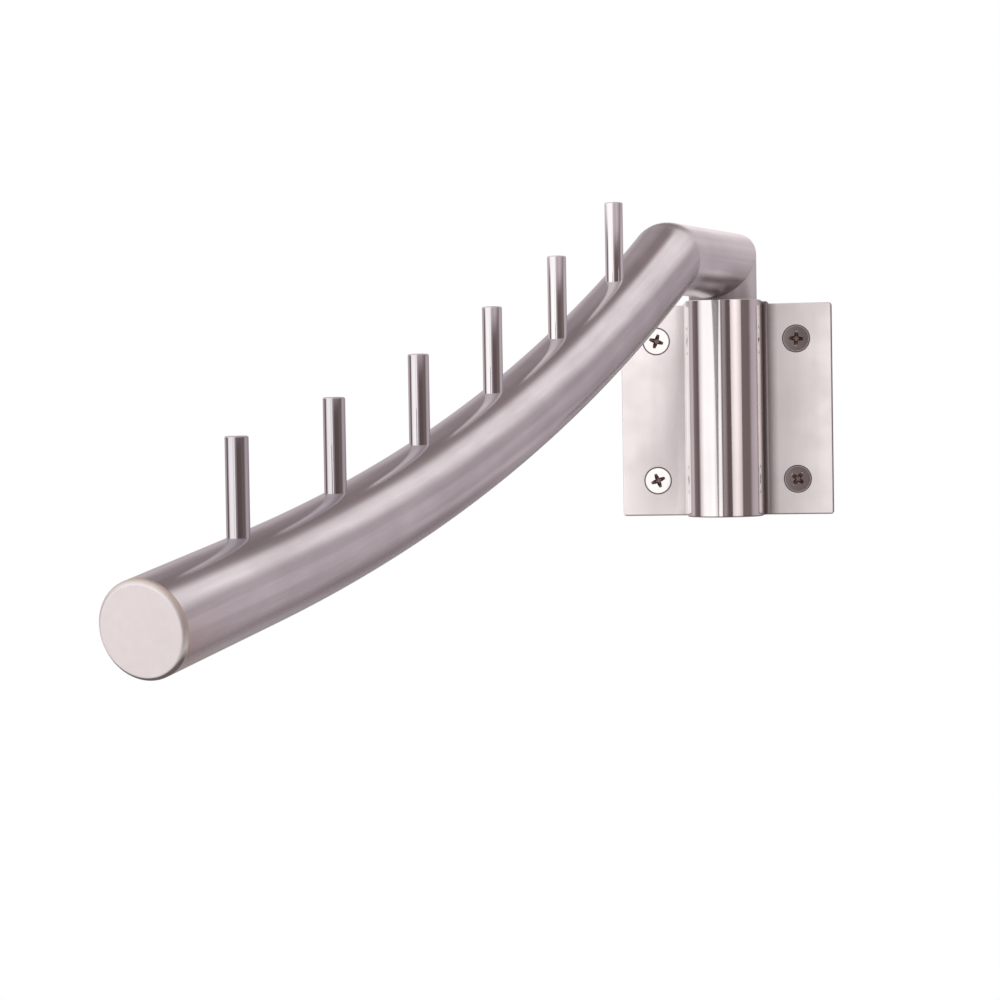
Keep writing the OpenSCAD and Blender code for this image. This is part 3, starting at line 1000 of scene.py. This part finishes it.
# Hanger pins
# Six lengths of polished stainless rod, set upright in holes along the top of the arm. Their tops
# have a small rounded edge.
def pins_tree():
    """Puts a round rod with an eased top edge at each point. The points are at the pins' feet."""
    tree, given = new_tree("hanger pins", {
        "Radius": "Float", "Foot": "Float", "Height": "Float", "Edge": "Float",
        "Edge steps": "Int", "Sides": "Int", "Finish": "Material",
    })
    edge = given["Edge"]
    rod = tree.nodes.new("GeometryNodeCurvePrimitiveLine").outputs[0]
    divided = {"Curve": rod, "Count": plus(given["Edge steps"], 2.0)}
    spread = add_node(tree, "GeometryNodeResampleCurve", divided).outputs[0]
    index = tree.nodes.new("GeometryNodeInputIndex").outputs[0]
    share = maths("DIVIDE", minus(index, 1.0), given["Edge steps"], clamp=True)
    angle = times(share, math.pi / 2)
    height = maths("MULTIPLY_ADD", maths("SINE", angle), edge, minus(given["Height"], edge))
    first = maths("LESS_THAN", index, 0.5)
    drop = times(first, minus(times(given["Foot"], -1.0), height))
    place = add_node(tree, "ShaderNodeCombineXYZ", {"Z": plus(height, drop)}).outputs[0]
    upright = add_node(tree, "GeometryNodeSetPosition", {"Geometry": spread, "Position": place}).outputs[0]
    radius = maths("MULTIPLY_ADD", maths("COSINE", angle), edge, minus(given["Radius"], edge))
    ring = {"Resolution": given["Sides"], "Radius": 1.0}
    circle = add_node(tree, "GeometryNodeCurvePrimitiveCircle", ring).outputs[0]
    swept = {"Curve": upright, "Profile Curve": circle, "Scale": radius, "Fill Caps": True}
    pin = smooth_sides(add_node(tree, "GeometryNodeCurveToMesh", swept).outputs[0])
    end_tree(copied(given["Geometry"], pin), given["Finish"])
    return tree


pin_names = [f"hanger_pin_{k + 1}" for k in range(6)]
pin_r = half_width(pin_names[0])
pin_foot = 4.0 * MM
pin_edge = 0.4 * MM
pin_edge_steps = 6
pin_boxes = [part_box(pin_name) for pin_name in pin_names]
pin_height = pin_boxes[0][1].z - pin_boxes[0][0].z - pin_foot
pin_feet = [((low.x + high.x) / 2, (low.y + high.y) / 2, low.z + pin_foot) for low, high in pin_boxes]
pin_steel = steel(
    "pin steel", (0.65, 0.635, 0.66), (0.58, 0.565, 0.585), 0.08, (3000, 3000, 300), depth=0.015,
)
# Painted light: the pins nearer the wall are painted brighter than those in front
rear_light_ends = (-0.26, -0.12)
rear_painted_light = ranged(along_axes(where_on(pin_steel.node_tree))[1], *rear_light_ends, 0.0, 0.7)
touched(pin_steel, rear_painted_light, (0.90, 0.89, 0.90))
pin_values = {
    "Radius": pin_r, "Foot": pin_foot, "Height": pin_height, "Edge": pin_edge,
    "Edge steps": pin_edge_steps, "Sides": round_sides, "Finish": pin_steel,
}
pins_mesh = grown("hanger_pins_finished", points_mesh("pin_feet", pin_feet), pins_tree(), pin_values)
placed("hanger_pins_finished", pins_mesh, pin_steel, "arm", "polished_steel", *pin_names)


# Studio
# A plain pale floor well below the arm, a small strip lamp by the barrel, a large soft lamp on each
# side, and a room that is white where the camera looks, with walls, panels and gaps for the steel to show.
def ray_kinds(tree):
    """1 for what the camera sees itself, and 1 for what it sees by way of steel or glass."""
    seen = tree.nodes.new("ShaderNodeLightPath").outputs
    return seen["Is Camera Ray"], maths("MAXIMUM", seen["Is Glossy Ray"], seen["Is Transmission Ray"])


floor_z = -0.45
floor_half = 0.75
floor_back = 0.25
floor_corners = [(-floor_half, -floor_half), (floor_half, -floor_half)]
floor_corners += [(floor_half, floor_back), (-floor_half, floor_back)]
studio_floor_mesh = bpy.data.meshes.new("studio_floor")
studio_floor_mesh.from_pydata([(x, y, floor_z) for x, y in floor_corners], [], [(0, 1, 2, 3)])
studio_floor = new_object("studio_floor", studio_floor_mesh)
floor_material, floor_tree, floor_paint = new_material("studio floor")
floor_paint.inputs["Base Color"].default_value = (0.82, 0.81, 0.80, 1)
floor_paint.inputs["Roughness"].default_value = 0.9
floor_paint.inputs["Specular IOR Level"].default_value = 0.0
floor_direct, floor_shiny = ray_kinds(floor_tree)
floor_tint = mixed(floor_shiny, (1.0, 1.0, 1.0), (1.0, 0.80, 0.80))
floor_glow = mixed(floor_direct, times(floor_shiny, 0.1), 0.6)
floor_tree.links.new(floor_tint, floor_paint.inputs["Emission Color"])
floor_tree.links.new(floor_glow, floor_paint.inputs["Emission Strength"])
studio_floor_mesh.materials.append(floor_material)

world = bpy.data.worlds.new("studio")
bpy.context.scene.world = world
world.use_nodes = True
room_tree = world.node_tree
room_tree.nodes.clear()
room_x, room_y, room_z = along_axes(room_tree.nodes.new("ShaderNodeTexCoord").outputs["Generated"])
round_angle = maths("ARCTAN2", room_x, times(room_y, -1.0))
whole_turn = ranged(round_angle, -math.pi, math.pi)
# How red, green and blue the room is at a tone: its gaps are brownish, its walls lilac, its panels white
room_tints = [(0.05, 1, 0.72, 0.68), (0.45, 1, 0.84, 0.90), (0.95, 1, 0.91, 0.91), (1.2, 1, 0.98, 0.975)]


def tinted(tone):
    """The colour of the room where it has a tone, between the nearest two tints."""
    below = max([t for t in room_tints if t[0] <= tone], default=room_tints[0])
    above = min([t for t in room_tints if t[0] >= tone], default=room_tints[-1])
    share = 0 if above[0] == below[0] else (tone - below[0]) / (above[0] - below[0])
    return [tone * (low + (high - low) * share) for low, high in zip(below[1:], above[1:])]


def room_ring(tones):
    """A band of the room. Each tone stands at its degrees from the way to the camera, to the right."""
    ring = add_node(room_tree, "ShaderNodeValToRGB", {"Fac": whole_turn})
    marks = ring.color_ramp.elements
    while len(marks) < len(tones):
        marks.new(0.5)
    for mark, (degrees, tone) in zip(marks, tones):
        mark.position = (degrees + 180) / 360
        mark.color = (*tinted(tone), 1)
    return ring.outputs["Color"]


eye_ring = room_ring([
    (-180, 0.60), (-165, 0.78), (-150, 0.62), (-125, 0.47), (-108, 0.62), (-100, 0.22), (-81, 0.13),
    (-74, 0.80), (-62, 1.15), (-29, 1.20), (-21, 0.92), (-17.5, 0.95), (-15, 1.14), (-4.8, 1.14),
    (-3.5, 0.12), (-1.6, 0.13), (1, 0.38), (7, 0.34), (14, 0.12), (50, 0.13), (64, 0.18), (88, 0.18),
    (97, 0.44), (112, 0.53), (128, 0.50), (140, 0.45), (152, 0.40), (165, 0.33), (180, 0.40),
])
level_ring = room_ring([
    (-180, 0.85), (-165, 0.76), (-120, 0.70), (-85, 1.00), (-70, 1.10), (-12, 1.10), (0, 0.60), (20, 0.50),
    (45, 0.60), (90, 0.30), (120, 0.42), (136, 0.42), (150, 0.54), (165, 0.66), (180, 0.85),
])
upper_ring = room_ring([
    (-180, 0.26), (-165, 0.38), (-150, 0.60), (-110, 0.80), (-70, 0.85), (-5, 0.85), (15, 0.70), (70, 0.50),
    (110, 0.60), (124, 0.74), (132, 0.84), (143, 0.80), (155, 0.30), (165, 0.24), (180, 0.26),
])
lower_ring = room_ring([
    (-180, 0.40), (-150, 0.60), (-110, 0.85), (-80, 0.86), (-30, 0.86), (-4, 0.10), (36, 0.08), (60, 0.36),
    (100, 0.42), (148, 0.42), (158, 0.33), (180, 0.31),
])
# Upwards, each ring goes over to the next between two heights, which are sines of the angle above level
room = lower_ring
for next_ring, low, high in (
    (level_ring, -0.28, -0.20),
    (eye_ring, -0.17, -0.12),
    (level_ring, 0.12, 0.17),
    (upper_ring, 0.30, 0.58),
):
    room = mixed(ranged(room_z, low, high, shape="SMOOTHSTEP"), room, next_ring)


def glow(colour, strength):
    """Light of one colour from every part of the room."""
    return add_node(room_tree, "ShaderNodeBackground", {"Color": colour, "Strength": strength}).outputs[0]


def either(mask, light, other):
    """The one light where the mask is 0, and the other where it is 1."""
    return add_node(room_tree, "ShaderNodeMixShader", {"Fac": mask, 1: light, 2: other}).outputs[0]


room_direct, room_shiny = ray_kinds(room_tree)
reflected = either(room_shiny, glow((1, 0.99, 0.98, 1), 0.5), glow(room, 1.12))
backdrop = either(room_direct, reflected, glow((1, 1, 1, 1), 1.0))
add_node(room_tree, "ShaderNodeOutputWorld", {"Surface": backdrop})


def lamp(name, place, aim, size, power):
    """An area lamp of a width and height, turned towards a point."""
    lamp_data = bpy.data.lights.new(name, "AREA")
    lamp_data.shape = "RECTANGLE"
    lamp_data.size, lamp_data.size_y = size
    lamp_data.energy = power
    made = new_object(name, lamp_data)
    made.location = place
    made.rotation_mode = "QUATERNION"
    made.rotation_quaternion = (Vector(aim) - Vector(place)).to_track_quat("-Z", "Y")
    return made


barrel_side = (0.009, -0.022, -0.020)
strip = lamp("strip_light", (0.102, -0.13, 0), barrel_side, (0.090, 0.104), 0.0040)
strip.data.color = (1, 0.91, 0.91)
strip.data.spread = math.radians(60)
strip.visible_camera = False
# The steel shows the room's panels, so the softboxes aren't seen in it
arm_middle = (0, -0.15, 0)
for name, place, power in (("left_softbox", (-1.2, -1.1, 0.9), 14), ("right_softbox", (1.1, -1.2, 0.5), 8)):
    lamp(name, place, arm_middle, (1.0, 1.0), power).visible_glossy = False

bpy.context.scene.view_settings.view_transform = "Standard"
